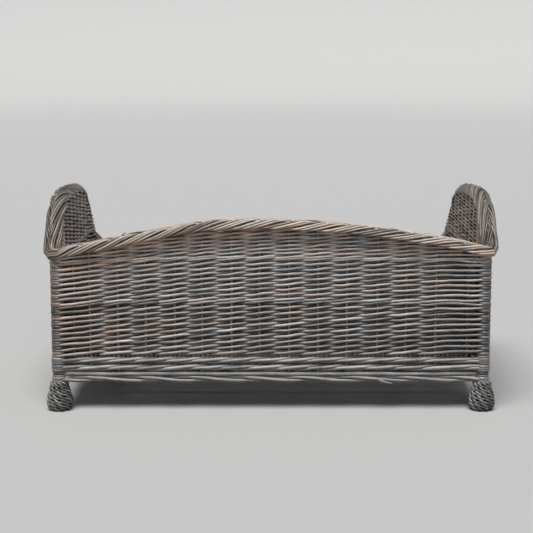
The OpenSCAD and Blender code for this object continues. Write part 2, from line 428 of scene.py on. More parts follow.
def willow(name, dark, brown, orange, weathered_and_lit, weathering_and_top_light=0.5, gloss=0.45):
    """Unpeeled willow, stained dark, paler on top from weather and from painted top light.

    A rod's tone runs from brown to orange, and patches and streaks of it are dark. The fifth argument
    is the pale top colour and the sixth how much of it its upper face takes, part wear and part
    painted highlight, and gloss is its least roughness, nearly.
    """
    w = Shader(name)
    rod = w.node("Attribute", attribute_name="rod")
    parts = w.node("SeparateColor")
    w.feed(parts.inputs[0], rod.outputs["Color"])
    tone, light, cut = parts.outputs
    grain = w.node("Attribute", attribute_name="grain").outputs["Vector"]
    streaks = w.noise(grain, STREAKS, 3)
    patches = w.noise(grain, PATCHES, 2)
    specks = w.noise(grain, SPECKS, 1)

    # The stain: brown to orange, in dark patches.
    bark = w.mix(tone, brown, orange)
    bark = w.mix(w.between(patches, 0.35, 0.7), bark, dark)

    # The pale top colour, part weather and part painted top light and highlight: more on faces that
    # look up, and along some streaks.
    height = w.node("SeparateXYZ")
    w.feed(height.inputs[0], w.node("NewGeometry").outputs["Normal"])
    top = w.between(height.outputs["Z"], -0.5, 1.0, 0.0, weathering_and_top_light)
    worn_and_lit = w.sums("MULTIPLY", top, w.between(streaks, 0.3, 0.65, 0.35, 1.3))
    worn_and_lit = w.sums("MULTIPLY", worn_and_lit, rod.outputs["Alpha"])
    bark = w.mix(w.sums("MINIMUM", worn_and_lit, 1.0), bark, weathered_and_lit)

    # Dark cracks along other streaks, and pale specks.
    bark = w.mix(w.between(streaks, 0.5, 0.8, 0.0, 0.45), bark, dark)
    bark = w.mix(w.between(specks, 0.66, 0.8, 0.0, 0.5), bark, weathered_and_lit)

    # The rod's lightness, its own with painted light and shade added to it, and pale wood at a cut end.
    level = w.between(light, 0.0, 2.0, 0.35, 2.95)
    grey = w.node("CombineColor")
    for socket in grey.inputs:
        w.feed(socket, level)
    bark = w.mix(1.0, bark, grey.outputs[0], "MULTIPLY")
    bark = w.mix(w.sums("MULTIPLY", cut, 0.7), bark, CUT_WOOD)
    w.feed(w.surface.inputs["Base Color"], bark)

    w.feed(w.surface.inputs["Roughness"], w.between(patches, 0.3, 0.7, gloss - 0.08, gloss + 0.14))
    w.surface.inputs["Specular IOR Level"].default_value = 0.5
    bump = w.node("Bump")
    bump.inputs["Strength"].default_value = 0.55
    bump.inputs["Distance"].default_value = GRAIN_DEPTH
    w.feed(bump.inputs["Height"], w.sums("ADD", streaks, w.sums("MULTIPLY", specks, 0.3)))
    w.feed(w.surface.inputs["Normal"], bump.outputs[0])
    return w.material


# The pale top colour of each willow below stands both for the weather's bleaching and for painted top light
# and highlight.
WEAVE_WILLOW = willow(
    "weave_willow",
    dark=srgb(26, 23, 22),
    brown=srgb(92, 86, 81),
    orange=srgb(142, 101, 70),
    weathered_and_lit=srgb(182, 184, 185),
    weathering_and_top_light=0.75,
    gloss=0.3,
)
STAKE_WILLOW = willow(
    "stake_willow",
    dark=srgb(70, 59, 53),
    brown=srgb(140, 121, 111),
    orange=srgb(156, 128, 114),
    weathered_and_lit=srgb(160, 152, 147),
    weathering_and_top_light=0.3,
)
BORDER_WILLOW = willow(
    "border_willow",
    dark=srgb(36, 31, 27),
    brown=srgb(102, 92, 83),
    orange=srgb(152, 110, 76),
    weathered_and_lit=srgb(198, 191, 182),
    weathering_and_top_light=0.65,
    gloss=0.3,
)
FOOT_WILLOW = willow(
    "foot_willow",
    dark=srgb(18, 17, 16),
    brown=srgb(50, 47, 44),
    orange=srgb(74, 64, 54),
    weathered_and_lit=srgb(186, 185, 180),
    weathering_and_top_light=0.7,
    gloss=0.32,
)
BASE_WILLOW = willow(
    "base_willow",
    dark=srgb(36, 29, 24),
    brown=srgb(78, 66, 57),
    orange=srgb(102, 78, 60),
    weathered_and_lit=srgb(122, 116, 109),
    weathering_and_top_light=0.35,
)


# ---------------------------------------------------------------- woven walls

# From here on a sway is (amount, wavelength), a taper is the thickness at a rod's start and end,
# and two numbers for tones, lights or a thickness are the least and the most that a rod gets.
WEAVER_R = 2.05 * MM
WRAP_R = POST_R + WEAVER_R
WRAP_TURN = math.radians(150)
WRAP_STEPS = 13
# How far a rod's middle is from a stake's where it passes. They sink into each other a little.
SWING = STAKE_R + 0.6 * WEAVER_R
STEP = 3.4 * MM
# The walls are woven in three sets of rods, each (bottom, top, slots from bottom to top, rod
# radius, lightness, share of warm rods). In each set a rod starts at every stake and climbs one
# slot for each stake that it passes.
SETS = (
    (WEAVE_LOW, 153 * MM, 20, 2.15 * MM, 0.36, 0.3),
    (149.5 * MM, 214 * MM, 18, 2.1 * MM, 0.55, 0.3),
    # The top set's greater lightness is painted light, which fills the shadow the border casts on the wall.
    (210.5 * MM, 300 * MM, 32, 1.75 * MM, 1.05, 0.45),
)
# Rows are counted from below the set to SPARE_ROWS over it. Those outside it make no rod.
SPARE_ROWS = 4
# A rod's ends reach past their stakes by OVERLAP, and level out LEVEL_END beyond the set's rows,
# both as parts of a slot.
OVERLAP = 0.12
LEVEL_END = 0.3
# Above the back wall's wale the rods start this part of the way past their stakes, which leaves
# small dark openings, except beside the posts.
OPENING = 0.3
# The back wall's rows rise a little towards its middle, the more the higher they are.
ARCH_LIFT = 5 * MM
LIFT_RUN = 76 * MM
# How far the rods reach up into the hollow of the border, square to the rim, and how much lower
# they end where the border isn't square to its slope.
RIM_TUCK = {BACK: 1.2 * MM, RIGHT: 3.2 * MM, ENTRY: 2.4 * MM, LEFT: 3.2 * MM}
CUT_DROP = 1.5 * MM
# Between two stakes a rod rises and falls by ROW_WAVE, and all along it sways up and out.
ROW_WAVE = 0.25 * MM
UP_SWAY = (0.45 * MM, 80 * MM)
OUT_SWAY = (0.3 * MM, 60 * MM)
WEAVER_THICKNESS = (0.9, 1.08)
WEAVER_TAPER = (1.06, 0.94)
SIDE_THICK = 1.08
WARM_TONES = (0.3, 0.9)
DULL_TONES = (0, 0.15)
LIGHT_SPREAD = 0.2
LIGHT_RANGE = (0.05, 1.4)
# Inside the bed the rods are lower, thicker and browner than outside. They are also darker, which
# is painted shade on the inner faces and on rods behind the stakes, and they take less of the pale
# top colour, which is less wear and less painted top light. INSIDE_EDGE is how far out that
# begins, as a part of the swing.
INSIDE_TONE = {BACK: 0.15, RIGHT: 0.9, ENTRY: 0.15, LEFT: 0.9}
INSIDE_PAINTED_SHADE = {BACK: -0.34, RIGHT: -0.4, ENTRY: -0.34, LEFT: -0.5}
INSIDE_EDGE = {BACK: 0, RIGHT: 0.5, ENTRY: 0, LEFT: 0.5}
INSIDE_FRESH_AND_SHADED = 0.8
INSIDE_SINK = 1 * MM
INSIDE_THICK = 0.32
# Round the posts the rods are darker, and near the bottom of each set they are paler.
POST_LIGHT = -0.12
POST_FRESH = 0.45
PALE_START = 0.25
PALE_REACH = 8 * MM
# Just under the rim the rods are painted paler outside: painted light that fills the shadow of
# the border's overhang.
RIM_PAINTED_LIGHT = 0.6
RIM_REACH = 14 * MM
# The back wall's rods are warmer towards its left end.
LEFT_WARMTH = 0.7
WARM_RUN = 70 * MM


def stake_line(side):
    """The places of a side's two posts and of its stakes, and their numbers, from -1."""
    places = np.concatenate([[-ACROSS[side]], stake_places(side), [ACROSS[side]]])
    return places, np.arange(-1, len(places) - 1)


def even_steps(side, step=STEP):
    """Evenly spaced places along a side."""
    half = ACROSS[side]
    return np.linspace(-half, half, int(2 * half / step))


def fine_ended_steps(side):
    """Places along a side that get closer together towards its ends."""
    half = ACROSS[side]
    return half * np.sin(np.linspace(-math.pi / 2, math.pi / 2, int(math.pi * half / STEP)))


def round_posts(side, s, o, z, first=True, last=True):
    """A path along a side, taken on from its first and last places round the posts."""
    turn = np.linspace(0, WRAP_TURN, WRAP_STEPS + 1)[1:]
    more_s = ACROSS[side] + WRAP_R * np.sin(turn)
    more_o = WRAP_R * np.cos(turn)
    if first:
        s = np.concatenate([-more_s[::-1], s])
        o = np.concatenate([more_o[::-1], o])
        z = np.concatenate([np.full(WRAP_STEPS, z[0]), z])
    if last:
        s = np.concatenate([s, more_s])
        o = np.concatenate([o, more_o])
        z = np.concatenate([z, np.full(WRAP_STEPS, z[-1])])
    return s, o, z


def meet_posts(side, s, o, run):
    """A path's places out of the wall, brought to WRAP_R at the posts over a run before them."""
    free = np.clip((ACROSS[side] - np.abs(s)) / run, 0, 1)
    return o * free + (1 - free) * WRAP_R


def weaver_looks(side, bottom, s, z, hidden):
    """A wall rod's changes of tone, lightness and pale top colour at its places, with painted light
    just under the rim outside and painted shade inside the bed. hidden is 1 inside the bed.
    """
    half = ACROSS[side]
    turning = np.clip((np.abs(s) - half) / POST_R + 1, 0, 1)
    warmth = LEFT_WARMTH * np.exp((-half - s) / WARM_RUN) if side == BACK else 0
    pale = PALE_START * np.exp(-(((z - bottom) / PALE_REACH) ** 2))
    # Painted light just under the rim outside the bed, and painted shade on the rods inside it.
    painted_rim_light = RIM_PAINTED_LIGHT * np.exp(-np.abs(rim_z(side, s) - z) / RIM_REACH) * (1 - hidden)
    tone = warmth + INSIDE_TONE[side] * hidden
    light = INSIDE_PAINTED_SHADE[side] * hidden + pale + painted_rim_light + POST_LIGHT * turning
    worn_and_lit = 1 - INSIDE_FRESH_AND_SHADED * hidden - POST_FRESH * turning
    return tone, light, worn_and_lit


def wall_weave(side):
    """The rods of one wall, woven round its stakes and round half of each post."""
    rods = Rods(SEEDS["weave"] + side)
    rng = rods.rng
    half = ACROSS[side]
    places, counts = stake_line(side)
    s = even_steps(side) if side == BACK else fine_ended_steps(side)
    passed = np.interp(s, places, counts)
    # The right and left walls' rods pass their stakes the other way round, so they start a slot
    # sooner and end a slot later, which puts their ends behind stakes too.
    early = side % 2
    rim = rim_z(side, s)
    slope = rim_slope(side, s)
    cut = rim + RIM_TUCK[side] / np.cos(slope) - CUT_DROP * np.abs(np.sin(slope - rim_lean(side, s)))
    arch = (rim - rim[0]) / BACK_RISE if side == BACK else np.zeros_like(s)
    for bottom, top, slots, radius, lightness, warm_share in SETS:
        pitch = (top - bottom) / slots
        start = np.full(len(s), -early - OVERLAP)
        if side == BACK and bottom == WEAVE_LOW:
            start[np.abs(s) < half - STAKE_PITCH] = OPENING
        end = slots + early + OVERLAP
        for row in range(-len(places), slots + SPARE_ROWS):
            slot = row + passed
            level = np.clip(slot, -LEVEL_END, slots - 1 + LEVEL_END)
            front = np.where((row + counts + early) % 2 == 1, 1.0, -1.0)
            # A rod passes a post on the side on which it passes the stake beside it.
            front[0] = front[1]
            front[-1] = front[-2]
            reach = front * SWING
            reach[0] = front[0] * WRAP_R
            reach[-1] = front[-1] * WRAP_R
            o = between(places, reach, s)
            z = bottom + pitch * (level + 0.5) + ROW_WAVE * np.sin(TAU * passed)
            z = z + arch * ARCH_LIFT * np.clip((z - WEAVE_LOW) / LIFT_RUN, 0, 1)
            z = z + wander(rng, s, *UP_SWAY)
            o = o + wander(rng, s, *OUT_SWAY)
            z = z - INSIDE_SINK * np.clip(0.5 - o / (2 * SWING), 0, 1)
            # The share of each place that is inside the bed or behind a stake, where painted shade goes.
            inside = np.clip(INSIDE_EDGE[side] - o / SWING, 0, 1)
            tone = pick_tone(rng, warm_share, WARM_TONES, DULL_TONES)
            light = np.clip(rng.normal(lightness, LIGHT_SPREAD), *LIGHT_RANGE)
            thick = radius * rng.uniform(*WEAVER_THICKNESS)
            if side != BACK:
                thick = thick * SIDE_THICK
            for a, b in runs((slot > start) & (slot < end) & (z < cut)):
                wraps_first = a == 0 and front[0] > 0
                wraps_last = b == len(s) and front[-1] > 0
                run_s, run_o, run_z = round_posts(side, s[a:b], o[a:b], z[a:b], wraps_first, wraps_last)
                hidden = np.interp(run_s, s, inside) * (np.abs(run_s) < half)
                more_tone, more_light, worn_and_lit = weaver_looks(side, bottom, run_s, run_z, hidden)
                taper = np.linspace(*WEAVER_TAPER, len(run_s))
                run_thick = thick * taper * (1 + INSIDE_THICK * hidden)
                path = place(side, run_s, run_o, run_z)
                rods.add(path, run_thick, UP, tone + more_tone, light + more_light, worn_and_lit=worn_and_lit)
    name = "weave_" + SIDES[side]
    rods.build("willow_" + name, name, WEAVE_WILLOW)


# A stake ends STAKE_RISE over the lower of the rim's heights STAKE_MARGIN to each side of it.
STAKE_MARGIN = 4 * MM
STAKE_RISE = 2 * MM
STAKE_STEPS = 24
STAKE_ALONG_SWAY = (0.3 * MM, 120 * MM)
STAKE_OUT_SWAY = (0.15 * MM, 80 * MM)
STAKE_TONES = (0.3, 0.9)
STAKE_LIGHTS = (0.35, 0.65)


def wall_stakes(side):
    """The upright stakes of one wall, and the thin sticks beside the back posts."""
    rods = Rods(SEEDS["stakes"] + side)
    rng = rods.rng
    sticks = [(s, STAKE_R) for s in stake_places(side)]
    if side == BACK:
        sticks += [(t * (ACROSS[side] - SIDE_STICK_INSET), SIDE_STICK_R) for t in (-1, 1)]
    for s, radius in sticks:
        rim = rim_z(side, np.array([s - STAKE_MARGIN, s + STAKE_MARGIN]))
        z = np.linspace(WALE_LOW + GAP, float(np.min(rim)) + STAKE_RISE, STAKE_STEPS)
        sway = wander(rng, z, *STAKE_ALONG_SWAY)
        path = place(side, s + sway, wander(rng, z, *STAKE_OUT_SWAY), z)
        tone = rng.uniform(*STAKE_TONES)
        rods.add(path, radius, np.append(OUT[side], 0), tone, rng.uniform(*STAKE_LIGHTS))
    name = "stakes_" + SIDES[side]
    rods.build("willow_" + name, name, STAKE_WILLOW)


WALE_ROWS = 2
WALE_STRANDS = 3
WALE_R = 2.9 * MM
WALE_THICKNESS = (0.9, 1.05)
WALE_TONES = (0, 0.3)
WALE_LIGHTS = (0.25, 0.65)
WALE_SWAY = (0.3 * MM, 80 * MM)
WALE_POST_RUN = 14 * MM
# A wale rod's way past three stakes, as parts of it: how far in front of them it is at each part,
# and how it rises in front and falls behind.
FRONT_PARTS = (0, 0.08, 0.33, 0.6, 0.68, 0.84, 1)
FRONTS = (-0.2, 0.4, 1, 0.7, -0.1, -1, -0.2)
RISE_PARTS = (0, 0.66, 1)
RISES = (-0.5, 0.5, -0.5)
WALE_RISE = 0.6
SMOOTHING = 7


def smoothed(values):
    """The running mean of a row of values."""
    padded = np.pad(values, SMOOTHING // 2, "edge")
    return np.convolve(padded, np.ones(SMOOTHING) / SMOOTHING, "valid")


def wale(side):
    """Two rows of three-rod wale: each rod passes before two stakes and behind one."""
    rods = Rods(SEEDS["wale"] + side)
    rng = rods.rng
    s = even_steps(side)
    passed = np.interp(s, *stake_line(side))
    row_h = (WALE_HIGH - WALE_LOW) / WALE_ROWS
    for row in range(WALE_ROWS):
        for strand in range(WALE_STRANDS):
            part = (passed + strand + row) / WALE_STRANDS % 1
            front = smoothed(np.interp(part, FRONT_PARTS, FRONTS))
            rise = smoothed(np.interp(part, RISE_PARTS, RISES))
            o = meet_posts(side, s, front * (STAKE_R + WALE_R), WALE_POST_RUN)
            z = WALE_LOW + row_h * (row + 0.5) + rise * row_h * WALE_RISE + wander(rng, s, *WALE_SWAY)
            path = place(side, *round_posts(side, s, o, z))
            thick = WALE_R * rng.uniform(*WALE_THICKNESS)
            tone = rng.uniform(*WALE_TONES)
            rods.add(path, thick, UP, tone, rng.uniform(*WALE_LIGHTS), knots=90 * MM)
    name = "wale_" + SIDES[side]
    rods.build("willow_" + name, name, WEAVE_WILLOW)


# ---------------------------------------------------------------- corners and feet

POST_STEPS = 60
# The rings round a post: their rods and places, and how much each is tilted and rises like a
# screw. Their ends overlap.
RING_ROD_R = 1.85 * MM
RING_R = POST_R + 1.75 * MM
RING_PITCH = 3.7 * MM
RING_TURN = TAU * 1.02
RING_STEPS = 40
RING_TILT = 0.4 * MM
RING_RISE = 0.3 * MM
RING_TONES = (0, 0.4)
RING_LIGHTS = (0.06, 0.38)
LEFT_RING_WARMTH = 0.5


def corner_post(corner):
    """A thick knotty post."""
    rods = Rods(SEEDS["post"] + corner)
    node = "post_" + CORNERS[corner]
    z = np.linspace(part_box(node)[0].z, corner_top(corner), POST_STEPS)
    path = corner_place(corner) + np.outer(z, UP)
    rods.add(path, POST_R, np.array([0, 1.0, 0]), tone=0.3, light=0.45, sides=20, knots=70 * MM)
    rods.build("willow_" + node, node, BASE_WILLOW)


def corner_wrap(corner):
    """The rods that turn round a post, ring upon ring."""
    rods = Rods(SEEDS["wrap"] + corner)
    rng = rods.rng
    node = "corner_wrap_" + CORNERS[corner]
    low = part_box(node)[0].z
    turn = np.linspace(0, RING_TURN, RING_STEPS)
    centre = corner_place(corner)
    warmth = LEFT_RING_WARMTH if CORNERS[corner].endswith("left") else 0.0
    for z in np.arange(low + RING_PITCH / 2, corner_top(corner) - RING_PITCH / 2, RING_PITCH):
        start = rng.uniform(0, TAU)
        tilt = rng.uniform(-RING_TILT, RING_TILT)
        path = centre + np.column_stack([
            RING_R * np.cos(turn + start),
            RING_R * np.sin(turn + start),
            z + tilt * np.sin(turn) + RING_RISE * turn / TAU,
        ])
        rods.add(path, RING_ROD_R, UP, warmth + rng.uniform(*RING_TONES), rng.uniform(*RING_LIGHTS))
    rods.build("willow_" + node, node, WEAVE_WILLOW)


# The feet's rods: strands twined in rows round thin stakes. Their insets are from the foot's
# outline. FOOT_TWIST shifts each row's waves from those of the row below, in radians, and
# FOOT_GIRTH_R turns an angle into a length for the sways.
FOOT_ROWS = 7
FOOT_STRANDS = 2
FOOT_STRAND_R = 1.8 * MM
FOOT_STRAND_INSET = 2.8 * MM
FOOT_SWING = 2.0 * MM
FOOT_SLANT = 2.6 * MM
FOOT_TWIST = 1.1
FOOT_STEPS = 150
FOOT_SWAY = (0.2 * MM, 20 * MM)
FOOT_GIRTH_R = 15 * MM
FOOT_TONES = (0, 0.5)
FOOT_LIGHTS = (0.05, 0.6)
FOOT_STAKES = 10
FOOT_STAKE_R = 1.6 * MM
FOOT_STAKE_INSET = 3.6 * MM
FOOT_STAKE_LOW = 1 * MM
FOOT_STAKE_STEPS = 16


def foot_r(z):
    """The radius of a foot at height z."""
    flare = FOOT_WIDE_R - (FOOT_WIDE_R - FOOT_FLOOR_R) * (1 - z / FOOT_WIDE_Z) ** 2
    draw = np.sin(math.pi / 2 * (z - FOOT_WIDE_Z) / (FOOT_H - FOOT_WIDE_Z)) ** 2
    return np.where(z < FOOT_WIDE_Z, flare, FOOT_WIDE_R - (FOOT_WIDE_R - FOOT_TOP_R) * draw)


def woven_foot(corner):
    """Rows of twined pairs round a bulb: seen from outside, each strand slants down to the right."""
    rods = Rods(SEEDS["foot"] + corner)
    rng = rods.rng
    node = "foot_" + CORNERS[corner]
    centre = corner_place(corner)
    turn = np.linspace(0, TAU, FOOT_STEPS)
    row_h = (FOOT_TOP - FOOT_STRAND_R) / FOOT_ROWS
    for row in range(FOOT_ROWS):
        for strand in range(FOOT_STRANDS):
            phase = turn * FOOT_STAKES / 2 + strand * math.pi + row * FOOT_TWIST
            z = FOOT_STRAND_R + row_h * (row + 0.5) - FOOT_SLANT * np.sin(phase)
            z = np.clip(z + wander(rng, turn * FOOT_GIRTH_R, *FOOT_SWAY), FOOT_STRAND_R, FOOT_TOP)
            r = foot_r(z) - FOOT_STRAND_INSET + FOOT_SWING * np.cos(phase)
            path = centre + np.column_stack([r * np.cos(turn), r * np.sin(turn), z])
            tone = rng.uniform(*FOOT_TONES)
            rods.add(path, FOOT_STRAND_R, UP, tone, rng.uniform(*FOOT_LIGHTS), sides=7)
    z = np.linspace(FOOT_STAKE_LOW, FOOT_TOP, FOOT_STAKE_STEPS)
    r = foot_r(z) - FOOT_STAKE_INSET
    for k in range(FOOT_STAKES):
        angle = TAU * k / FOOT_STAKES
        path = centre + np.column_stack([r * math.cos(angle), r * math.sin(angle), z])
        round_foot = np.array([-math.sin(angle), math.cos(angle), 0.0])
        rods.add(path, FOOT_STAKE_R, round_foot, tone=0.2, light=0.4, sides=6)
    rods.build("willow_" + node, node, FOOT_WILLOW)


# ---------------------------------------------------------------- loose ends

LOOSE_STEPS = 12
LOOSE_BEND = 0.12
LOOSE_TAPER = (1.1, 0.75)
# Added to UP for a direction that no loose end takes.
LOOSE_ASIDE = np.array([0.3, 0.2, 0])


def loose_end(rods, side, s, o, z, radius, tone=0.3, light=0.35):
    """A short rod end that has sprung out of the weave, bending a little. s, o and z are pairs, for
    its start and its end."""
    start, end = place(side, np.array(s), np.array(o), np.array(z))
    along = np.linspace(0, 1, LOOSE_STEPS)[:, None]
    bend = rods.rng.uniform(-1, 1, 3) * LOOSE_BEND * np.linalg.norm(end - start)
    path = start + (end - start) * along + bend * np.sin(math.pi * along)
    across = np.cross(end - start, UP + LOOSE_ASIDE)
    rods.add(path, radius * np.linspace(*LOOSE_TAPER, LOOSE_STEPS), across, tone, light)


# ---------------------------------------------------------------- base

RAIL_RADII = (3.5 * MM, 3.1 * MM)
RAIL_OUT = 0.8 * MM
RAIL_OUT_SWAY = (0.3 * MM, 200 * MM)
RAIL_UP_SWAY = (0.3 * MM, 160 * MM)
RAIL_STEPS = 160
# The two rods of a rope turn round its middle once in ROPE_LAY.
ROPE_RODS = 2
ROPE_R = 2.4 * MM
ROPE_LAY = 150 * MM
ROPE_OUT = 1 * MM
ROPE_SWAY = (0.2 * MM, 90 * MM)
ROPE_POST_RUN = 16 * MM
ROPE_TONES = (0, 0.3)
ROPE_STEPS = 180
# The loose end on the back rope, from its start to its end.
ROPE_END_S = (150 * MM, 172 * MM)
ROPE_END_O = (2 * MM, 5 * MM)
ROPE_END_Z = (ROPE_Z, ROPE_Z - 6 * MM)
ROPE_END_R = 1.6 * MM


def base_rail(side):
    """A straight knotty rod along the edge of the base."""
    rods = Rods(SEEDS["rail"] + side)
    rng = rods.rng
    node = "base_rail_" + SIDES[side]
    s = np.linspace(-ACROSS[side], ACROSS[side], RAIL_STEPS)
    o = RAIL_OUT + wander(rng, s, *RAIL_OUT_SWAY)
    z = RAIL_Z + wander(rng, s, *RAIL_UP_SWAY)
    thick = np.linspace(*RAIL_RADII, RAIL_STEPS)
    rods.add(place(side, s, o, z), thick, UP, tone=0.0, light=0.85, sides=12, knots=75 * MM)
    rods.build("willow_" + node, node, WEAVE_WILLOW)


def base_rope(side):
    """Two rods twisted round each other under the edge of the base."""
    rods = Rods(SEEDS["rope"] + side)
    rng = rods.rng
    if side == BACK:
        loose_end(rods, side, ROPE_END_S, ROPE_END_O, ROPE_END_Z, ROPE_END_R, tone=0.2, light=0.55)
    node = "base_rope_" + SIDES[side]
    s = np.linspace(-ACROSS[side], ACROSS[side], ROPE_STEPS)
    for strand in range(ROPE_RODS):
        turn = -s / ROPE_LAY * TAU + strand * math.pi
        o = meet_posts(side, s, ROPE_OUT + ROPE_R * np.cos(turn), ROPE_POST_RUN)
        z = ROPE_Z + ROPE_R * np.sin(turn) + wander(rng, s, *ROPE_SWAY)
        path = place(side, *round_posts(side, s, o, z))
        rods.add(path, ROPE_R, UP, rng.uniform(*ROPE_TONES), 0.5, knots=110 * MM)
    rods.build("willow_" + node, node, WEAVE_WILLOW)


BASE_MIDDLE_Z = (BASE_LOW.z + BASE_HIGH.z) / 2
BASE_STICK_STEPS = 80
BASE_STICK_SWAY = (0.3 * MM, 200 * MM)
BASE_WEAVER_R = 2.0 * MM
BASE_WEAVER_THICKNESS = (0.9, 1.05)
BASE_WEAVER_PITCH = 3.5 * MM
BASE_WEAVER_SWAY = (0.25 * MM, 90 * MM)
BASE_WEAVER_STEPS = 84
BASE_SWING = BASE_STICK_R + BASE_WEAVER_R * 0.9
BASE_TONES = (0, 0.6)
BASE_LIGHTS = (0.3, 0.7)
# The base's rods end this far inside its edges, and this far before a post's wrap. There is one
# rod more at each end of the base than its CAD is wide.
BASE_INSET = 1 * MM
POST_CLEARANCE = 3 * MM
EXTRA_RODS = 2


def base_sticks():
    """The sticks from left to right that the floor is woven round."""
    rods = Rods(SEEDS["base_sticks"])
    count = int(STICKS_HIGH.y // BASE_STICK_PITCH)
    x = np.linspace(STICKS_LOW.x, STICKS_HIGH.x, BASE_STICK_STEPS)
    z = np.full(BASE_STICK_STEPS, BASE_MIDDLE_Z)
    for k in range(-count, count + 1):
        y = k * BASE_STICK_PITCH + wander(rods.rng, x, *BASE_STICK_SWAY)
        path = np.column_stack([x, y, z])
        rods.add(path, BASE_STICK_R, UP, tone=0.3, light=0.5, sides=10, knots=80 * MM)
    rods.build("willow_base_sticks", "base_sticks", BASE_WILLOW)


def base_weave():
    """The woven floor: rods from front to back, over and under the base sticks."""
    rods = Rods(SEEDS["base_weave"])
    rng = rods.rng
    count = round((BASE_HIGH.x - BASE_LOW.x) / BASE_WEAVER_PITCH) + EXTRA_RODS
    y = np.linspace(BASE_LOW.y + BASE_INSET, BASE_HIGH.y - BASE_INSET, BASE_WEAVER_STEPS)
    for k in range(count):
        x = (k - (count - 1) / 2) * BASE_WEAVER_PITCH
        over = 1 if k % 2 else -1
        z = BASE_MIDDLE_Z + over * BASE_SWING * np.cos(math.pi * y / BASE_STICK_PITCH)
        path = np.column_stack([x + wander(rng, y, *BASE_WEAVER_SWAY), y, z])
        if abs(x) > BASE_HIGH.x - POST_R - 2 * BASE_WEAVER_R:
            path = path[np.abs(y) < POST_Y - WRAP_R - POST_CLEARANCE]
        tone = rng.uniform(*BASE_TONES)
        thick = BASE_WEAVER_R * rng.uniform(*BASE_WEAVER_THICKNESS)
        rods.add(path, thick, np.array([1.0, 0, 0]), tone, rng.uniform(*BASE_LIGHTS), sides=6)
    rods.build("willow_base_weave", "base_weave", BASE_WILLOW)


# ---------------------------------------------------------------- rim border

PERIMETER = 4 * (POST_X + POST_Y)
V_COUNT = 48
V_PITCH = PERIMETER / V_COUNT
BUNDLES = 6
BUNDLE_RODS = 3
BORDER_STEP = 3 * MM
BORDER_ROD_R = 1.75 * MM
BORDER_THICKNESS = (0.86, 1.1)
BORDER_CORNER_R = 3 * MM
# A bundle lies as far as this over or under the middle of the plait's thickness.
BORDER_LAYER = 2.4 * MM
# Within a bundle the rods lie side by side, the middle one a little higher.
STRAND_SHIFT = 0.27
STRAND_STRAY = 0.03
MIDDLE_CROWN = 0.4 * MM
OUTER_CROWN = (-0.5 * MM, 0.1 * MM)
BORDER_WARM_SHARE = 0.3
BORDER_WARM_TONES = (0.5, 1)
BORDER_DULL_TONES = (0, 0.3)
# Each side's border is made lighter or darker. The right and left ones are painted darker: painted shade,
# for arms that lie in shade.
BORDER_PAINTED_LIGHT = {BACK: 0.1, RIGHT: -0.55, ENTRY: -0.1, LEFT: -0.55}
# The back wall's border is darker towards its left end.
LEFT_SHADE = 0.45
# The middle of the plait's thickness is a curve from its inner edge over its top to its outer
# edge, pulled by a point above the top, as (out, up). The V tips lie at CREST_SHARE of its length.
INNER_EDGE = np.array([-5.0, 2.5]) * MM
PULL = np.array([13.5, 23.0]) * MM
OUTER_EDGE = np.array([15.8, 0.8]) * MM
CREST_SHARE = 0.58
SECTION_STEPS = 81
# A bundle's way across the plait over one period, in V pitches: from the outer edge up to the
# crest, under the inner slope, up the inner slope to the crest and back under the outer slope.
TURNS = np.array([0, 1.25, 3.0, 4.75, 6])
SIDEWAYS = np.array([1, 0, -1, 0, 1])
# Its turns are rounded off by taking the mean of its places at these distances around each.
ROUNDING = (-0.18, -0.06, 0.06, 0.18)
LAYER_POWER = 0.6
# Loose ends: those hanging at the back left corner, as (fall, reach to the left), and those
# sprung up on the back wall's left slope, as (lift, reach to the right). Those of a kind start at
# the same s and the same height over the rim, and go from the first to the second place out.
HANGING_ENDS = ((7 * MM, 3 * MM), (4 * MM, 6 * MM), (9 * MM, 0.5 * MM))
HANGING_S = -POST_X - 3 * MM
HANGING_O = (9 * MM, 13 * MM)
HANGING_UP = 2 * MM
HANGING_R = 1.1 * MM
SPRUNG_ENDS = ((9 * MM, 9 * MM), (7 * MM, 15 * MM))
SPRUNG_S = -212 * MM
SPRUNG_O = (5 * MM, 7 * MM)
SPRUNG_UP = 9 * MM
SPRUNG_R = 0.9 * MM


def border_curve():
    """Points along the plait's section, the directions out of it and the share of its length at each."""
    t = np.linspace(0, 1, SECTION_STEPS)
    point = np.outer((1 - t) ** 2, INNER_EDGE) + np.outer(2 * t * (1 - t), PULL) + np.outer(t**2, OUTER_EDGE)
    tangent = unit(np.gradient(point, axis=0))
    normal = np.column_stack([-tangent[:, 1], tangent[:, 0]])
    length = np.concatenate([[0], np.cumsum(np.linalg.norm(np.diff(point, axis=0), axis=1))])
    return point, normal, length / length[-1]


SECTION_POINT, SECTION_NORMAL, SECTION_SHARE = border_curve()


def border_section(w):
    """Places (out, up) and directions out of the plait for w: -1 inner edge, 0 crest, 1 outer edge."""
    share = CREST_SHARE + w * np.where(w > 0, 1 - CREST_SHARE, CREST_SHARE)
    point = [np.interp(share, SECTION_SHARE, SECTION_POINT[:, k]) for k in (0, 1)]
    normal = [np.interp(share, SECTION_SHARE, SECTION_NORMAL[:, k]) for k in (0, 1)]
    return np.column_stack(point), unit(np.column_stack(normal))


def round_corner(side, s, o):
    """Turns the ends of a side's path by an eighth of a turn, to meet the next side's."""
    beyond = np.clip(np.abs(s) - (ACROSS[side] - BORDER_CORNER_R), 0, None)
    turn = beyond / BORDER_CORNER_R * math.pi / 4
    straight = np.clip(np.abs(s), 0, ACROSS[side] - BORDER_CORNER_R)
    bend = BORDER_CORNER_R + o
    new_s = np.sign(s) * (straight + np.where(turn > 0, bend * np.sin(turn), 0))
    new_o = np.where(turn > 0, bend * np.cos(turn) - BORDER_CORNER_R, o)
    return new_s, new_o


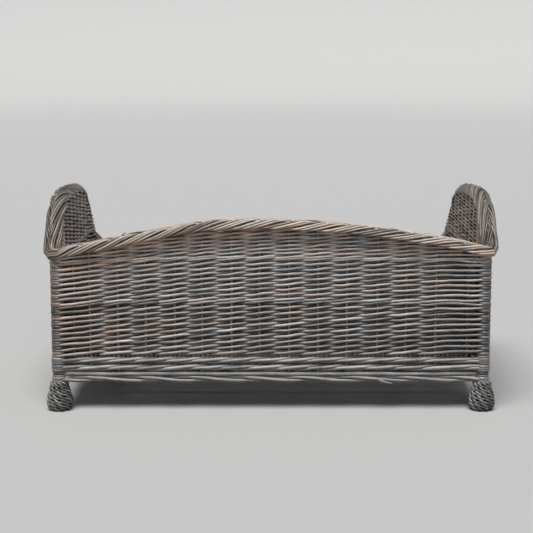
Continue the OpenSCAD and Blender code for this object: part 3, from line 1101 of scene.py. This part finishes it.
def plait(progress):
    """A bundle's place across the plait, from -1 to 1, and its layer, from 1 on top to -1 underneath."""
    part = progress % BUNDLES
    w = np.mean([np.interp((part + d) % BUNDLES, TURNS, SIDEWAYS) for d in ROUNDING], axis=0)
    stretch = np.clip(np.searchsorted(TURNS, part, side="right") - 1, 0, len(TURNS) - 2)
    inside = (part - TURNS[stretch]) / (TURNS[stretch + 1] - TURNS[stretch])
    return w, np.where(stretch % 2 == 0, 1, -1) * np.sin(math.pi * inside) ** LAYER_POWER


def border_loose_ends(rods):
    """The back border's loose rod ends."""
    for fall, reach in HANGING_ENDS:
        s = np.array([HANGING_S, HANGING_S - reach])
        loose_end(rods, BACK, s, HANGING_O, rim_z(BACK, s) + (HANGING_UP, -fall), HANGING_R)
    for lift, reach in SPRUNG_ENDS:
        s = np.array([SPRUNG_S, SPRUNG_S + reach])
        loose_end(rods, BACK, s, SPRUNG_O, rim_z(BACK, s) + (SPRUNG_UP, SPRUNG_UP + lift), SPRUNG_R)


def border(side):
    """The plaited border: bundles climb each slope to the crest and pass under the other slope."""
    rods = Rods(SEEDS["border"] + side)
    s = even_steps(side, BORDER_STEP)
    offset = side * (POST_X + POST_Y)
    lean = rim_lean(side, s)
    base = rim_z(side, s)
    left_shade = LEFT_SHADE * np.exp((-ACROSS[side] - s) / WARM_RUN) if side == BACK else 0
    out_and_up = np.append(OUT[side], 0.3)
    for bundle in range(BUNDLES):
        for strand in range(BUNDLE_RODS):
            # The same draws on every side, so that a rod goes on round the corners.
            rng = np.random.default_rng(SEEDS["border_rod"] + bundle * BUNDLE_RODS + strand)
            shift = bundle + (strand - 1) * STRAND_SHIFT + rng.uniform(-STRAND_STRAY, STRAND_STRAY)
            w, layer = plait((s + offset) / V_PITCH - shift)
            crown = MIDDLE_CROWN if strand == 1 else rng.uniform(*OUTER_CROWN)
            point, normal = border_section(w)
            o, up = (point + normal * (BORDER_LAYER * layer + crown)[:, None]).T
            run_s, run_o = round_corner(side, s - up * np.sin(lean), o)
            path = place(side, run_s, run_o, base + up * np.cos(lean))
            tone = pick_tone(rng, BORDER_WARM_SHARE, BORDER_WARM_TONES, BORDER_DULL_TONES)
            # The side's painted light or shade, and the back border's darker left end.
            light = max(0.0, rng.uniform(0, 1) + BORDER_PAINTED_LIGHT[side]) - left_shade
            thick = BORDER_ROD_R * rng.uniform(*BORDER_THICKNESS)
            rods.add(path, thick, out_and_up, tone, light, knots=140 * MM)
    if side == BACK:
        border_loose_ends(rods)
    name = "border_" + SIDES[side]
    rods.build("willow_" + name, name, BORDER_WILLOW)


# ---------------------------------------------------------------- floor, light and camera

# The floor's flat rings, its reach before it curves up and the radius of that curve, in metres.
FLAT_RINGS = (3, 6)
FLOOR_REACH = 9
FLOOR_CURVE = 2.5
FLOOR_SIDES = 96
CURVE_STEPS = 12
FLOOR_COLOUR = srgb(184, 184, 183)

SKY_COLOUR = (0.80, 0.88, 1.0, 1)
SKY_STRENGTH = 0.14

CAMERA_PLACE = (-0.0061, -2.203, 0.521)
CAMERA_TILT = 8.89
CAMERA_LENS = 97.94
CAMERA_SENSOR = 36


def make_floor():
    """A wide pale floor that curves up far from the bed, so that no edge of it is seen."""
    turn = np.linspace(0, TAU, FLOOR_SIDES, endpoint=False)
    rise = np.linspace(0, math.pi / 2, CURVE_STEPS)
    reach = np.concatenate([FLAT_RINGS, FLOOR_REACH + FLOOR_CURVE * np.sin(rise)])
    height = np.concatenate([np.zeros(len(FLAT_RINGS)), FLOOR_CURVE * (1 - np.cos(rise))])
    rings = [
        np.column_stack([r * np.cos(turn), r * np.sin(turn), np.full(FLOOR_SIDES, z)])
        for r, z in zip(reach, height)
    ]
    here = np.arange(len(rings) * FLOOR_SIDES).reshape(len(rings), FLOOR_SIDES)
    beside = np.roll(here, -1, axis=1)
    quads = np.stack([here[:-1], here[1:], beside[1:], beside[:-1]], -1).reshape(-1, 4)
    mesh = bpy.data.meshes.new("floor")
    mesh.from_pydata(np.concatenate(rings).tolist(), [], [here[0].tolist()] + quads.tolist())
    mesh.polygons.foreach_set("use_smooth", np.full(len(mesh.polygons), True))
    floor = bpy.data.objects.new("floor", mesh)
    bpy.context.scene.collection.objects.link(floor)
    w = Shader("pale_floor")
    w.surface.inputs["Base Color"].default_value = FLOOR_COLOUR
    w.surface.inputs["Roughness"].default_value = 0.85
    mesh.materials.append(w.material)


def sun(name, elevation, azimuth, strength, softness, colour):
    """A soft distant light. Azimuth 0 shines from the camera's side, 90 from the right."""
    light = bpy.data.lights.new(name, "SUN")
    light.energy = strength
    light.angle = math.radians(softness)
    light.color = colour
    lamp = bpy.data.objects.new(name, light)
    bpy.context.scene.collection.objects.link(lamp)
    lamp.rotation_euler = (math.radians(90 - elevation), 0, math.radians(azimuth))


def make_light():
    """A high soft key light, a weak light from the camera's side and a faint bluish sky."""
    world = bpy.data.worlds.new("soft_studio")
    bpy.context.scene.world = world
    world.use_nodes = True
    background = world.node_tree.nodes["Background"]
    background.inputs["Color"].default_value = SKY_COLOUR
    background.inputs["Strength"].default_value = SKY_STRENGTH
    sun("key", elevation=66, azimuth=-14, strength=3.6, softness=40, colour=(1.0, 0.992, 0.982))
    sun("front", elevation=20, azimuth=10, strength=0.4, softness=24, colour=(0.98, 0.985, 1.0))
    bpy.context.scene.view_settings.view_transform = "Standard"


def make_camera():
    """The camera looks square at the back wall, from above the rim."""
    data = bpy.data.cameras.new("camera")
    data.lens = CAMERA_LENS
    data.sensor_width = CAMERA_SENSOR
    camera = bpy.data.objects.new("camera", data)
    bpy.context.scene.collection.objects.link(camera)
    camera.location = CAMERA_PLACE
    camera.rotation_euler = (math.radians(90 - CAMERA_TILT), 0, 0)
    bpy.context.scene.camera = camera


make_camera()
make_light()
make_floor()
for side in range(4):
    wall_weave(side)
    wall_stakes(side)
    wale(side)
    base_rail(side)
    base_rope(side)
    border(side)
for corner in range(4):
    corner_post(corner)
    corner_wrap(corner)
    woven_foot(corner)
base_sticks()
base_weave()
